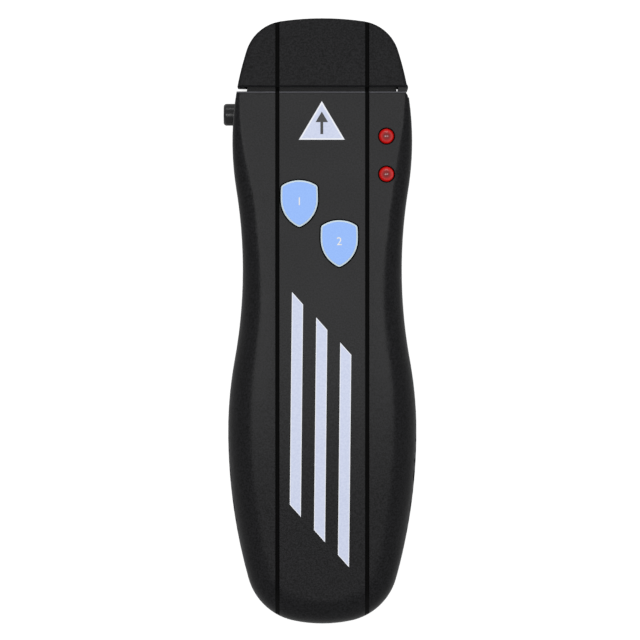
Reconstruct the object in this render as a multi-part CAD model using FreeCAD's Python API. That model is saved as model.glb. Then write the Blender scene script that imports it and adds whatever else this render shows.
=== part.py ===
"""Visual fault locator: a hand-held red laser source that shows breaks in optical fibre.

A waisted two-shell plastic case lies on its flat back. +Y runs along the case towards the flip cap that
covers the fibre port, +Z points out of the front face, and X is the width. The origin is on the flat
back, midway along the whole length and on the case's centre plane. All sizes are in millimetres.
"""

import FreeCAD
import Part
import math
import os

os.makedirs("parts", exist_ok=True)

V = FreeCAD.Vector
X_AXIS = V(1, 0, 0)
Y_AXIS = V(0, 1, 0)
Z_AXIS = V(0, 0, 1)

# ---- the case ---------------------------------------------------------------------------------
half_length = 60.75
shoulder_half_width = 18.02
shoulder_below_end = 24.75
shoulder_radius = 60.0
waist_half_width = 15.95
waist_radius = 100.0
hip_half_width = 18.9
hip_radius = 79.0
top_radius = 57.8
top_corner_radius = 8.5
bottom_radius = 28.0
bottom_corner_radius = 12.0
foot_half_width = 15.28
case_thickness = 21.0
wall = 1.8
end_wall = 2.0
part_z = 9.6
front_fall_above_hip = 7.7
front_fall_length = 38.0
front_fall_deg = 5.5
edge_round_top = 0.8
edge_round_grip = 5.5
edge_full_below_hip = 22.0
rear_edge_round = 2.0
inner_edge_cut = 2.0
groove_x = 9.0
groove_width = 0.85
groove_depth = 0.9

# ---- the seam, the flip cap and its hinge -------------------------------------------------------
cap_length = 14.25
seam_gap = 0.9
seam_edge_round = 0.4
cap_wall = 1.6
cap_fall_deg = 7.0
cap_edge_break = 0.5
collar_height = 1.7
collar_clearance = 0.35
collar_front_z = 15.0
hinge_inset = 0.97
hinge_above_seam = 0.35
knuckle_radius = 1.0
knuckle_relief = 0.12
knuckle_height = 3.0
knuckle_gap = 0.2
spring_room = 4.2
ear_height = 2.4
ear_cover = 0.8
pin_radius = 0.5
pin_press_clearance = 0.02
pin_running_clearance = 0.06
hinge_corner_round = 1.2

# ---- the release button and the catch -----------------------------------------------------------
button_below_seam = 4.9
button_radius = 2.2
button_proud = 2.1
button_clearance = 0.1
catch_clearance = 0.2
catch_bar = 1.0
catch_arm = 1.0
tongue_inset = 4.47
tongue_thickness = 1.4
tongue_width = 3.0
nose_reach = 0.9
nose_height = 1.0
button_flange_rise = 2.0
button_flange_thickness = 0.9
button_flange_gap = 0.14
release_spring_below_seam = 9.3
release_spring_radius = 1.4
release_spring_length = 4.2
release_wire_radius = 0.2

# ---- the keys, switches, board and indicators ---------------------------------------------------
key_width = 7.42
key_length = 9.3
key_crown_radius = 6.2
key_corner_radius = 0.75
key_side_radius = 30.0
key_widest_y = 1.2
key_flank_radius = 6.0
key_tip_radius = 0.7
key_bevel = 0.35
key_proud = 0.9
key_travel = 0.35
key_clearance = 0.28
key_flange = 0.8
key_flange_thickness = 0.7
lamp_key_x = -4.6
lamp_key_below_seam = 22.9
laser_key_x = 3.4
laser_key_below_seam = 30.9
switch_size = 6.0
switch_height = 3.1
switch_well = 1.6
switch_button_radius = 1.75
switch_button_proud = 1.2
board_thickness = 1.2
board_clearance = 0.7
board_above_bay = 2.0
board_below_seam = 6.5
led_radius = 1.55
led_hole_radius = 1.72
led_proud = 0.95
led_inset = 5.17
led_below_seam = 9.4
led_pitch = 7.6
chip_x = -4.0
chip_above_board_end = 7.6

# ---- the optics ---------------------------------------------------------------------------------
port_x = 5.0
adapter_radius = 4.3
adapter_flange_radius = 5.4
adapter_flange = 1.75
adapter_tip_above_seam = 10.1
adapter_shoulder = 1.6
light_hole_radius = 1.45
ferrule_bore_radius = 1.25
sleeve_wall = 0.35
sleeve_length = 10.8
sleeve_slit = 0.3
barrel_radius = 3.0
barrel_length = 18.5
barrel_saddles_back = [14.6, 5.6]
saddle_thickness = 1.2
saddle_clearance = 0.05
lens_radius = 1.75
torch_x = -5.5
torch_radius = 2.5
torch_length = 8.3
torch_rim = 0.4
torch_saddle_ahead = 1.35
bezel_radius = 4.0

# ---- the cells ----------------------------------------------------------------------------------
cell_radius = 5.2
cell_length = 44.5
cell_nub_radius = 1.9
cell_nub = 1.0
cell_pitch = 10.8
cell_spring_length = 4.4
cell_spring_radius = 3.2
cell_spring_tip_radius = 2.0
cell_spring_wire = 0.3
cell_spring_turns = 4
cell_gap = 0.1
contact_thickness = 0.3
contact_half_width = 4.0
contact_drop = 3.5
contact_tab_half_width = 1.2
bay_above_end = 6.45
bay_wall = 1.5
door_plate = 1.65
door_half_width = 11.0
door_rail_reach = 0.7
door_rail = 0.8
door_clearance = 0.1
rib_clearance = 0.2

# ---- the screws ---------------------------------------------------------------------------------
screw_radius = 1.0
screw_head_radius = 1.6
screw_clearance = 0.05
boss_radius = 2.2
screw_head_height = 1.2
screw_bite = 5.0
pilot_beyond = 1.0
upper_screw_x = 11.7
lower_screw_above_end = 33.75
board_screw_radius = 0.8
board_screw_head_radius = 1.5
board_screw_head_height = 1.0
board_screw_bite = 3.3
board_screw_x = [-10.8, 10.6]
board_screw_from_ends = [6.5, 5.6]

spring_steps = 10
beyond = 100.0

# ---- sizes worked out from the ones above ---------------------------------------------------------
shoulder_y = half_length - shoulder_below_end
seam_y = half_length - cap_length
body_top_y = seam_y - seam_gap / 2
cap_low_y = seam_y + seam_gap / 2
end_wall_inner_y = body_top_y - end_wall
collar_top_y = body_top_y + collar_height
hinge_y = seam_y + hinge_above_seam
button_y = seam_y - button_below_seam
release_spring_y = seam_y - release_spring_below_seam
lamp_key_at = (lamp_key_x, seam_y - lamp_key_below_seam)
laser_key_at = (laser_key_x, seam_y - laser_key_below_seam)
led_x = shoulder_half_width - led_inset
led_high_y = seam_y - led_below_seam
led_low_y = led_high_y - led_pitch
adapter_tip_y = seam_y + adapter_tip_above_seam
front_inner_z = case_thickness - wall
knuckle_z = [part_z + 0.7 - spring_room / 2 - knuckle_height, part_z + 0.7 + spring_room / 2]
ear_z = [knuckle_z[0] - knuckle_gap - ear_height, knuckle_z[1] + knuckle_height + knuckle_gap]
key_flange_top = front_inner_z - 0.2
key_flange_bottom = key_flange_top - key_flange_thickness
board_top = key_flange_bottom - switch_height - switch_button_proud
board_bottom = board_top - board_thickness
port_z = part_z
cell_z = door_plate + door_clearance * 2 + door_rail + 0.4 + cell_radius
bay_length = cell_length + cell_spring_length + 2 * contact_thickness + 2 * cell_gap
bay_low_y = -half_length + bay_above_end
bay_top_y = bay_low_y + bay_length
board_low_y = bay_top_y + board_above_bay
board_high_y = seam_y - board_below_seam
board_screws_at = [
    (board_screw_x[0], board_high_y - board_screw_from_ends[0]),
    (board_screw_x[1], board_low_y + board_screw_from_ends[1]),
]
upper_screw_at = (upper_screw_x, (led_low_y + board_screws_at[1][1]) / 2)
lower_screw_at = (hip_half_width - wall - boss_radius, -half_length + lower_screw_above_end)
door_rail_z = wall + door_clearance


def half_width_at(y):
    """Half the case's width near the seam, where the shoulder's arc is its side."""
    return shoulder_half_width - shoulder_radius + math.sqrt(shoulder_radius ** 2 - (y - shoulder_y) ** 2)


hinge_x = half_width_at(body_top_y) - hinge_inset
tongue_x = -(half_width_at(body_top_y) - tongue_inset)


def box(x0, x1, y0, y1, z0, z1):
    """A block between two opposite corners."""
    return Part.makeBox(x1 - x0, y1 - y0, z1 - z0, V(x0, y0, z0))


def rod(radius, start, end):
    """A round bar from one point to another."""
    along = V(*end) - V(*start)
    return Part.makeCylinder(radius, along.Length, V(*start), along)


def turned(points, x, z):
    """A solid of revolution about a line along Y; each point is (radius, y)."""
    corners = [V(x + radius, y, z) for radius, y in points]
    face = Part.Face(Part.makePolygon(corners + corners[:1]))
    return face.revolve(V(x, 0, z), Y_AXIS, 360)


def fuse(shapes):
    """One solid from several that touch or overlap."""
    joined = shapes[0].multiFuse(shapes[1:])
    return joined.removeSplitter()


def save(name, shapes):
    """Write the solids of one named piece."""
    solids = [solid for shape in shapes for solid in shape.Solids]
    piece = solids[0] if len(solids) == 1 else Part.makeCompound(solids)
    piece.exportStep("parts/" + name + ".step")


# ---- outer form: plan outline, side profile and rounded edges -------------------------------------

def touching_circle(first, first_radius, second, second_radius, radius, side):
    """Centre of the circle that joins two arcs smoothly; side is 1 to the left of the line between them, or -1."""
    to_first = first_radius - radius
    to_second = second_radius - radius
    line = second - first
    span = line.Length
    along = (to_first ** 2 - to_second ** 2 + span ** 2) / (2 * span)
    off = math.sqrt(to_first ** 2 - along ** 2)
    heading = V(line.x / span, line.y / span, 0)
    sideways = V(-heading.y, heading.x, 0)
    return first + heading * along + sideways * off * side


def outline_circles():
    """Circles of the right-hand outline from top to bottom; the waist's radius is negative, as it is hollow."""
    top = V(0, half_length - top_radius, 0)
    shoulder = V(shoulder_half_width - shoulder_radius, shoulder_y, 0)
    waist = V(waist_half_width + waist_radius, 0, 0)
    waist.y = shoulder.y - tangent_drop(shoulder, shoulder_radius, waist, waist_radius)
    hip = V(hip_half_width - hip_radius, 0, 0)
    hip.y = waist.y - tangent_drop(waist, waist_radius, hip, hip_radius)
    bottom = V(0, -half_length + bottom_radius, 0)
    foot_x = foot_half_width - bottom_corner_radius
    foot = V(foot_x, bottom.y - math.sqrt((bottom_radius - bottom_corner_radius) ** 2 - foot_x ** 2), 0)
    thigh_radius = flank_radius(V(hip_half_width, hip.y, 0), foot, bottom_corner_radius)
    thigh = V(hip_half_width - thigh_radius, hip.y, 0)
    top_corner = touching_circle(top, top_radius, shoulder, shoulder_radius, top_corner_radius, -1)
    return [
        (top, top_radius),
        (top_corner, top_corner_radius),
        (shoulder, shoulder_radius),
        (waist, -waist_radius),
        (hip, hip_radius),
        (thigh, thigh_radius),
        (foot, bottom_corner_radius),
        (bottom, bottom_radius),
    ]


def flank_radius(widest, corner, corner_radius):
    """Radius of the arc that leaves its widest point straight along Y and runs smoothly into a corner's circle."""
    inwards = corner.x - widest.x
    down = corner.y - widest.y
    return (corner_radius ** 2 - inwards ** 2 - down ** 2) / (2 * (inwards + corner_radius))


def hip_start_y():
    """Where the waist's hollow side turns into the hip."""
    circles = outline_circles()
    waist = circles[3][0]
    hip = circles[4][0]
    return waist.y + (hip.y - waist.y) * waist_radius / (waist_radius + hip_radius)


def tangent_drop(first, first_radius, second, second_radius):
    """How far below the first centre the second lies when two circles touch from outside."""
    reach = first_radius + second_radius
    return math.sqrt(reach ** 2 - (second.x - first.x) ** 2)


def tangent_ring(circles, high_y, low_y, inset):
    """A closed wire, alike on both sides of x = 0, of arcs that touch their neighbours, moved inwards by inset."""
    joints = [V(0, high_y - inset, 0)]
    for (c1, r1), (c2, r2) in zip(circles, circles[1:]):
        joints.append(c1 + (c2 - c1) * ((r1 - inset) / (r1 - r2)))
    joints.append(V(0, low_y + inset, 0))
    right = []
    for (centre, radius), start, end in zip(circles, joints, joints[1:]):
        middle = (start - centre) + (end - centre)
        middle.normalize()
        right.append(Part.Arc(start, centre + middle * abs(radius - inset), end).toShape())
    left = [edge.mirror(V(0, 0, 0), X_AXIS) for edge in reversed(right)]
    return Part.Wire(right + left)


def outline(inset):
    """The waisted outline seen from the front, moved inwards by inset."""
    return tangent_ring(outline_circles(), half_length, -half_length, inset)


def plan(inset):
    """The outline as a tall prism."""
    prism = Part.Face(outline(inset)).extrude(V(0, 0, case_thickness * 2))
    prism.translate(V(0, 0, -case_thickness / 2))
    return prism


def body_side(inset, high_y):
    """The body's side profile: level by the keys, then falling away towards the lower end."""
    fall = math.radians(front_fall_deg)
    bend_radius = front_fall_length / math.sin(fall)
    bend_y = hip_start_y() + front_fall_above_hip
    top = case_thickness - inset
    low_y = -half_length - 10

    def bend(angle):
        return V(0, bend_y - bend_radius * math.sin(angle), top - bend_radius * (1 - math.cos(angle)))

    high = V(0, high_y, top)
    end = V(0, low_y, bend(fall).z - (bend(fall).y - low_y) * math.tan(fall))
    edges = [
        Part.makeLine(high, bend(0)),
        Part.Arc(bend(0), bend(fall / 2), bend(fall)).toShape(),
        Part.makeLine(bend(fall), end),
        Part.makeLine(end, V(0, low_y, inset)),
        Part.makeLine(V(0, low_y, inset), V(0, high_y, inset)),
        Part.makeLine(V(0, high_y, inset), high),
    ]
    return across(Part.Face(Part.Wire(edges)))


def cap_side(inset, low_y):
    """The cap's side profile: its front falls away from the seam to the tip."""
    slope = math.tan(math.radians(cap_fall_deg))
    high_y = half_length + 10
    top = case_thickness - inset
    corners = [
        V(0, low_y, inset),
        V(0, high_y, inset),
        V(0, high_y, top - (high_y - cap_low_y) * slope),
        V(0, low_y, top - (low_y - cap_low_y) * slope),
    ]
    return across(Part.Face(Part.makePolygon(corners + corners[:1])))


def across(face):
    """A face in the centre plane made into a prism wider than the case."""
    reach = hip_half_width + 10
    face.translate(V(-reach, 0, 0))
    return face.extrude(V(2 * reach, 0, 0))


def edge_radius(y):
    """Front edge rounding: crisp by the seam, growing smoothly to full at the grip."""
    full_y = hip_start_y() - edge_full_below_hip
    share = min(1.0, max(0.0, (body_top_y - y) / (body_top_y - full_y)))
    return edge_round_top + (edge_round_grip - edge_round_top) * share ** 2 * (3 - 2 * share)


def rounded(shape, radius_at):
    """Round the edges that radius_at gives a pair of end radii for."""
    document = FreeCAD.newDocument()
    base = document.addObject("Part::Feature", "Base")
    base.Shape = shape
    fillet = document.addObject("Part::Fillet", "Fillet")
    fillet.Base = base
    chosen = []
    for number, edge in enumerate(shape.Edges, 1):
        radii = radius_at(edge)
        if radii:
            chosen.append((number, radii[0], radii[1]))
    fillet.Edges = chosen
    document.recompute()
    result = fillet.Shape.copy()
    FreeCAD.closeDocument(document.Name)
    return result


def lengthwise(edge):
    """Whether an edge runs along the outline rather than straight across or up."""
    return edge.BoundBox.YLength > 0.1


def body_form():
    """The body's whole outer form, below the seam."""
    def radii(edge):
        if not lengthwise(edge):
            return None
        if edge.BoundBox.ZMax < wall:
            return rear_edge_round, rear_edge_round
        if edge.BoundBox.ZMin < case_thickness / 2:
            return None
        ends = [edge.valueAt(edge.FirstParameter).y, edge.valueAt(edge.LastParameter).y]
        return edge_radius(ends[0]), edge_radius(ends[1])

    block = plan(0).common(body_side(0, body_top_y))
    return rounded(block, radii)


def body_inside(inset, high_y, front_cut):
    """The body's form moved inwards, with its front edges cut back evenly."""
    block = plan(inset).common(body_side(inset, high_y))
    front = [e for e in block.Edges if lengthwise(e) and e.BoundBox.ZMin > case_thickness / 2]
    return block.makeChamfer(front_cut, front)


def cap_form():
    """The cap's whole outer form, above the seam: a broken edge in front, a round one behind."""
    block = plan(0).common(cap_side(0, cap_low_y))
    edges = [e for e in block.Edges if lengthwise(e) and e.BoundBox.ZLength < case_thickness / 3]
    front = [e for e in edges if e.BoundBox.ZMin > case_thickness / 2]
    block = block.makeChamfer(cap_edge_break, front)
    rear = [e for e in block.Edges if lengthwise(e) and e.BoundBox.ZMax < 0.01]
    return block.makeFillet(rear_edge_round, rear)


def cap_hollow(inset, low_y):
    """The room inside the cap, open towards the body."""
    return plan(inset).common(cap_side(inset, low_y))


def grooves(side_below, y0, y1):
    """The two lengthwise channels in the front face."""
    half = groove_width / 2
    cuts = []
    for x in (-groove_x, groove_x):
        strip = box(x - half, x + half, y0, y1, case_thickness / 2, case_thickness + 5)
        cuts.append(strip.cut(side_below))
    return cuts


# ---- shapes that several pieces share -------------------------------------------------------------

def shield(at, grow, z0, z1):
    """A key's shield shape as a prism; grow widens it all round."""
    top = key_length / 2
    crown = V(0, top - key_crown_radius, 0)
    side = V(key_width / 2 - key_side_radius, key_widest_y, 0)
    tip = V(0, -top + key_tip_radius, 0)
    corner = touching_circle(crown, key_crown_radius, side, key_side_radius, key_corner_radius, -1)
    flank = touching_circle(side, key_side_radius, tip, key_tip_radius, key_flank_radius, 1)
    circles = [
        (crown, key_crown_radius),
        (corner, key_corner_radius),
        (side, key_side_radius),
        (flank, key_flank_radius),
        (tip, key_tip_radius),
    ]
    prism = Part.Face(tangent_ring(circles, top, -top, -grow)).extrude(V(0, 0, z1 - z0))
    prism.translate(V(at[0], at[1], z0))
    return prism


def hinge_barrel(radius, z0, z1):
    """A round bar about the cap's hinge line."""
    return rod(radius, (hinge_x, hinge_y, z0), (hinge_x, hinge_y, z1))


def coil(radius, end_radius, wire_radius, length, turns):
    """A helical spring along +Z from the origin, its wire inside the given length."""
    height = length - 2 * wire_radius
    steps = int(turns * spring_steps)
    points = []
    for i in range(steps + 1):
        share = i / steps
        angle = 2 * math.pi * turns * share
        r = radius + (end_radius - radius) * share
        points.append(V(r * math.cos(angle), r * math.sin(angle), wire_radius + height * share))
    corners = []
    for i in range(6):
        angle = math.radians(60 * i)
        corners.append(V(radius + wire_radius * math.cos(angle), 0, wire_radius * (1 + math.sin(angle))))
    section = Part.makePolygon(corners + corners[:1])
    return Part.makePolygon(points).makePipeShell([section], True, False, 1)


def bent_lead(radius, points):
    """A thin wire through a few points, mitred where it turns."""
    path = Part.makePolygon([V(*p) for p in points])
    heading = V(*points[1]) - V(*points[0])
    rim = Part.makeCircle(radius, V(*points[0]), heading)
    section = Part.makePolygon(rim.discretize(7))
    return path.makePipeShell([section], True, False, 1)


def screw_places(at):
    """A left and right pair of places."""
    return [(-at[0], at[1]), (at[0], at[1])]


def case_screw_places():
    """All the case screws: a pair by the waist and a pair at the hip."""
    return screw_places(upper_screw_at) + screw_places(lower_screw_at)


# ---- the two shells -------------------------------------------------------------------------------

def collar():
    """The low neck on the end wall that the cap closes over, from the catch's side to the hinge."""
    right_end = hinge_x - knuckle_radius - knuckle_relief - knuckle_gap
    low_y = body_top_y - end_wall / 2
    neck = cap_hollow(cap_wall + collar_clearance, low_y)
    return neck.common(box(-hip_half_width, right_end, low_y, collar_top_y, 0, collar_front_z))


def catch_slot():
    """The opening in the end wall that the cap's tongue swings through."""
    left = tongue_x - tongue_thickness / 2 - 0.7
    right = tongue_x + tongue_thickness / 2 + nose_reach + 0.25
    half = tongue_width / 2 + 0.2
    return box(left, right, end_wall_inner_y - 1, collar_top_y + 1, part_z - half, part_z + half)


def hinge_cuts():
    """What the body loses so that the cap can swing: a round corner and room for the knuckles."""
    corner_x = half_width_at(body_top_y) - hinge_corner_round
    corner_y = body_top_y - hinge_corner_round
    reach = hinge_corner_round + 2
    corner = box(corner_x, corner_x + reach, corner_y, corner_y + reach, -1, case_thickness + 1)
    corner = corner.cut(rod(hinge_corner_round, (corner_x, corner_y, -2), (corner_x, corner_y, case_thickness + 2)))
    room = hinge_barrel(knuckle_radius + knuckle_relief, knuckle_z[0] - knuckle_gap, ear_z[1])
    return [corner, room]


def seam_round():
    """The small round along the body's front edge at the seam."""
    y = body_top_y - seam_edge_round
    z = case_thickness - seam_edge_round
    corner = box(-beyond, beyond, y, body_top_y + 1, z, case_thickness + 1)
    return corner.cut(rod(seam_edge_round, (-beyond, y, z), (beyond, y, z)))


def hinge_ear(z0, cover):
    """One of the body's ears: a barrel on a web that rises from the end wall, closed above by its cover."""
    high = z0 + ear_height
    web = box(hinge_x - knuckle_radius, hinge_x - 0.15, end_wall_inner_y + 0.5, hinge_y, z0, high + cover)
    barrel = hinge_barrel(knuckle_radius, z0, high + cover)
    bore = hinge_barrel(pin_radius + pin_press_clearance, z0 - 1, high if cover else high + 1)
    return fuse([web, barrel]), bore


def wall_openings():
    """The round openings that the two shells share, half in each."""
    button_inner = button_flange_x()[1]
    button = rod(button_radius + button_clearance, (-beyond, button_y, part_z), (button_inner, button_y, part_z))
    port = rod(adapter_radius + 0.08, (port_x, end_wall_inner_y - 1, port_z), (port_x, collar_top_y + 1, port_z))
    torch = rod(bezel_radius + 0.08, (torch_x, end_wall_inner_y - 1, port_z), (torch_x, collar_top_y + 1, port_z))
    return [button, port, torch, catch_slot()]


def shell(form, hollow, z0, z1):
    """One half of the case with its part of the end wall and collar."""
    slab = box(-beyond, beyond, -beyond, beyond, z0, z1)
    return fuse([form.cut(hollow), collar()]).common(slab)


def front_cover(form, hollow):
    """The front shell, with key and indicator openings, grooves, screw bosses and board bosses."""
    inside = body_inside(wall / 2, body_top_y, inner_edge_cut + wall / 2)
    ear, ear_bore = hinge_ear(ear_z[1], ear_cover)
    bosses = []
    pilots = []
    for x, y in case_screw_places():
        bosses.append(rod(boss_radius, (x, y, part_z), (x, y, case_thickness)))
        pilot_top = part_z + screw_bite + pilot_beyond
        pilots.append(rod(screw_radius + screw_clearance, (x, y, part_z - 1), (x, y, pilot_top)))
    for x, y in board_screws_at:
        bosses.append(rod(boss_radius, (x, y, board_top), (x, y, case_thickness)))
        pilot_top = board_top + board_screw_bite + pilot_beyond
        pilots.append(rod(board_screw_radius + screw_clearance, (x, y, board_top - 1), (x, y, pilot_top)))
    bosses = [boss.common(inside) for boss in bosses]
    openings = wall_openings() + pilots + [ear_bore, seam_round()]
    for at in (lamp_key_at, laser_key_at):
        openings.append(shield(at, key_clearance, front_inner_z - 1, case_thickness + 1))
    for y in (led_high_y, led_low_y):
        openings.append(rod(led_hole_radius, (led_x, y, front_inner_z - 1), (led_x, y, case_thickness + 1)))
    openings += grooves(body_side(groove_depth, body_top_y), -half_length - 1, body_top_y)
    cover = shell(form, hollow, part_z, case_thickness + 1).cut(hinge_cuts())
    return fuse([cover, ear] + bosses).cut(openings)


def rib_room():
    """Where the back shell's ribs may stand: let into its own wall, clear of the front shell's."""
    low = body_inside(wall / 2, body_top_y, inner_edge_cut)
    low = low.common(box(-beyond, beyond, -beyond, beyond, 0, part_z))
    high = body_inside(wall + rib_clearance, end_wall_inner_y, inner_edge_cut)
    return low.fuse(high.common(box(-beyond, beyond, -beyond, beyond, part_z, case_thickness)))


def rear_cover(form, hollow):
    """The back shell, with the cell bay, screw bosses, saddles for the optics and the door opening."""
    inside = rib_room()
    ear, ear_bore = hinge_ear(ear_z[0], 0)
    floor = wall / 2
    bay_side = door_half_width + door_rail_reach + door_clearance + 0.2
    bay_bottom = door_rail_z + door_rail + door_clearance
    bay_high = part_z
    ribs = [
        box(-bay_side, bay_side, bay_low_y - bay_wall, bay_low_y, bay_bottom, board_bottom - 0.7),
        box(-bay_side, bay_side, bay_top_y, bay_top_y + bay_wall, floor, board_bottom - 0.4),
        box(-bay_side - 1, -bay_side, bay_low_y - bay_wall, bay_top_y + bay_wall, floor, bay_high),
        box(bay_side, bay_side + 1, bay_low_y - bay_wall, bay_top_y + bay_wall, floor, bay_high),
    ]
    for back in barrel_saddles_back:
        y = barrel_front_y() - back
        ribs.append(box(port_x - barrel_radius - 1, port_x + barrel_radius + 1, y, y + saddle_thickness, floor, part_z))
    y = torch_foot_y() + torch_saddle_ahead
    ribs.append(box(torch_x - torch_radius - 0.6, torch_x + torch_radius + 0.6, y, y + saddle_thickness, floor, part_z))
    barrel_low = barrel_front_y() - barrel_length
    saddle_cuts = [
        rod(barrel_radius + saddle_clearance, (port_x, barrel_low, port_z), (port_x, end_wall_inner_y, port_z)),
        rod(torch_radius + saddle_clearance, (torch_x, torch_foot_y(), port_z), (torch_x, end_wall_inner_y, port_z)),
    ]
    seat_x = spring_seat_x()
    seat_half = release_spring_radius + 0.4
    seat_y = release_spring_y
    ribs.append(box(seat_x, seat_x + 1.2, seat_y - seat_half, seat_y + seat_half, floor, board_bottom - 0.6))
    through = []
    for x, y in case_screw_places():
        ribs.append(rod(boss_radius, (x, y, floor), (x, y, part_z)))
        through.append(rod(screw_radius + 0.2, (x, y, -1), (x, y, part_z + 1)))
        through.append(rod(screw_head_radius + 0.25, (x, y, -1), (x, y, screw_seat_z())))
    ribs = [rib.common(inside) for rib in ribs]
    cover = shell(form, hollow, -1, part_z).cut(hinge_cuts())
    cover = fuse([cover, ear] + ribs)
    return cover.cut(wall_openings() + saddle_cuts + through + [ear_bore] + door_opening())


def screw_seat_z():
    """Height of the face that a case screw's head pulls against."""
    return wall


# ---- the battery door -----------------------------------------------------------------------------

def door_opening():
    """The gap the door slides in: a slot with a wider track above it, open at the lower end."""
    side = door_half_width + door_clearance
    track = side + door_rail_reach
    high = bay_top_y - 0.2 + door_clearance
    low = -half_length - 5
    return [
        box(-side, side, low, high, -1, door_rail_z),
        box(-track, track, low, high, wall, door_rail_z + door_rail + door_clearance),
    ]


def battery_door(form):
    """The sliding door: a plate with a rail along each side, an end block and finger grips."""
    high = bay_top_y - 0.2
    low = -half_length - 5
    block_high = bay_low_y - 0.7
    half = door_half_width
    rail_half = half + door_rail_reach
    inner = half - 0.8
    top = door_rail_z + door_rail
    shapes = [box(-half, half, low, high, -1, door_plate)]
    shapes.append(box(-half, half, low, block_high, door_plate, door_rail_z))
    shapes.append(box(-rail_half, rail_half, low, block_high, door_rail_z, top))
    for x0, x1, side in ((-half, -inner, -rail_half), (inner, half, rail_half)):
        shapes.append(box(x0, x1, block_high, high - 1, door_plate, door_rail_z))
        rail_x = sorted((side, x0 if side > 0 else x1))
        shapes.append(box(rail_x[0], rail_x[1], block_high, high - 1, door_rail_z, top))
    door = fuse(shapes).common(form)
    grips = [box(-4.5, 4.5, high - 5 - 1.6 * i, high - 4.2 - 1.6 * i, -1, 0.45) for i in range(5)]
    return door.cut(grips)


# ---- the flip cap and its hinge -------------------------------------------------------------------

def flip_cap():
    """The hollow cap, with two knuckles, the catch tongue and room for the body's ears."""
    hinge_low = ear_z[0] - knuckle_gap
    hinge_high = ear_z[1] + ear_height + ear_cover + knuckle_gap
    hinge_room = hinge_barrel(knuckle_radius + knuckle_relief, hinge_low, hinge_high)
    shell_only = cap_form().cut([cap_hollow(cap_wall, cap_low_y - 1), hinge_room, cap_seam_bevel()])
    pieces = [shell_only, catch_tongue()]
    for z in knuckle_z:
        barrel = hinge_barrel(knuckle_radius, z, z + knuckle_height)
        web = box(hinge_x - knuckle_radius, hinge_x + 0.5, hinge_y, hinge_y + 2 * knuckle_radius, z, z + knuckle_height)
        pieces += [barrel, web]
    bore = hinge_barrel(pin_radius + pin_running_clearance, hinge_low - 0.5, hinge_high + 0.5)
    return fuse(pieces).cut(bore)


def cap_seam_bevel():
    """What the cap's front edge loses along the seam."""
    high_y = cap_low_y + seam_edge_round
    low_z = case_thickness - seam_edge_round
    corners = [
        V(0, cap_low_y - 1, low_z - 1),
        V(0, high_y + 1, case_thickness + 1),
        V(0, cap_low_y - 1, case_thickness + 1),
    ]
    return across(Part.Face(Part.makePolygon(corners + corners[:1])))


def catch_tongue():
    """The tongue that reaches into the body, with its nose and the block that ties it to the cap."""
    left = tongue_x - tongue_thickness / 2
    right = tongue_x + tongue_thickness / 2
    half = tongue_width / 2
    low = nose_low_y()
    root_low = collar_top_y + 0.3
    stem = box(left, right, low, root_low + 1.6, part_z - half, part_z + half)
    nose = box(right, right + nose_reach, low, low + nose_height, part_z - half, part_z + half)
    root = box(-hip_half_width, right, root_low, root_low + 1.6, part_z - half, part_z + half)
    return fuse([stem, nose, root.common(plan(cap_wall / 2))])


def nose_low_y():
    """Lower end of the catch tongue."""
    return button_y - 0.2


def cap_hinge_pin():
    """The steel pin through the ears and knuckles."""
    return hinge_barrel(pin_radius, ear_z[0] - 0.3, ear_z[1] + ear_height - 0.1)


def cap_torsion_spring():
    """The spring round the pin, with one leg on the cap and one on the body."""
    wire = 0.14
    low = knuckle_z[0] + knuckle_height + 0.3
    length = spring_room - 0.6
    spring = coil(pin_radius + 0.26, pin_radius + 0.26, wire, length, 6)
    spring.translate(V(hinge_x, hinge_y, low))
    return spring


def cap_seal():
    """The soft pad that closes the port when the cap is shut; it follows the cap's inner face."""
    pad = rod(adapter_radius + 0.4, (port_x, adapter_tip_y + 0.3, port_z), (port_x, half_length, port_z))
    return pad.common(cap_hollow(cap_wall, cap_low_y))


# ---- the release button ---------------------------------------------------------------------------

def button_flange_x():
    """Outer and inner faces of the flange that keeps the button in."""
    outer = -(half_width_at(button_y + button_flange_rise) - wall - button_flange_gap)
    return outer, outer + button_flange_thickness


def spring_seat_x():
    """Face of the rib that the release spring pushes on."""
    return button_flange_x()[1] + release_spring_length


def release_button():
    """The round button, its flange and the loop whose far bar hooks the cap's tongue."""
    outer, inner = button_flange_x()
    edge = -half_width_at(button_y) - button_proud
    cap = rod(button_radius, (edge, button_y, part_z), (outer, button_y, part_z))
    cap = cap.makeFillet(0.6, [e for e in cap.Edges if e.BoundBox.XMax < edge + 0.1])
    flange_low = release_spring_y - release_spring_radius - 0.4
    flange_half = button_radius + 0.8
    flange_high = button_y + button_flange_rise
    flange = box(outer, inner, flange_low, flange_high, part_z - flange_half, part_z + flange_half)
    bar_x = tongue_x + tongue_thickness / 2 + nose_reach + catch_clearance
    bar_low = nose_low_y() + nose_height + catch_clearance
    half = tongue_width / 2 + 0.2
    arms = []
    for z0, z1 in ((part_z - half - catch_arm, part_z - half), (part_z + half, part_z + half + catch_arm)):
        arms.append(box(inner, bar_x + catch_bar, bar_low, bar_low + 1.0, z0, z1))
    bar = box(bar_x, bar_x + catch_bar, bar_low, bar_low + 1.0, part_z - half, part_z + half)
    peg = rod(release_spring_radius - 0.45, (inner, release_spring_y, part_z), (inner + 1.2, release_spring_y, part_z))
    return fuse([cap, flange, bar, peg] + arms)


def release_spring():
    """The coil that pushes the button back out."""
    inner = button_flange_x()[1]
    length = spring_seat_x() - inner
    spring = coil(release_spring_radius, release_spring_radius, release_wire_radius, length, 5)
    spring.rotate(V(0, 0, 0), Y_AXIS, 90)
    spring.translate(V(inner, release_spring_y, part_z))
    return spring


# ---- keys and switches ----------------------------------------------------------------------------

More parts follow.
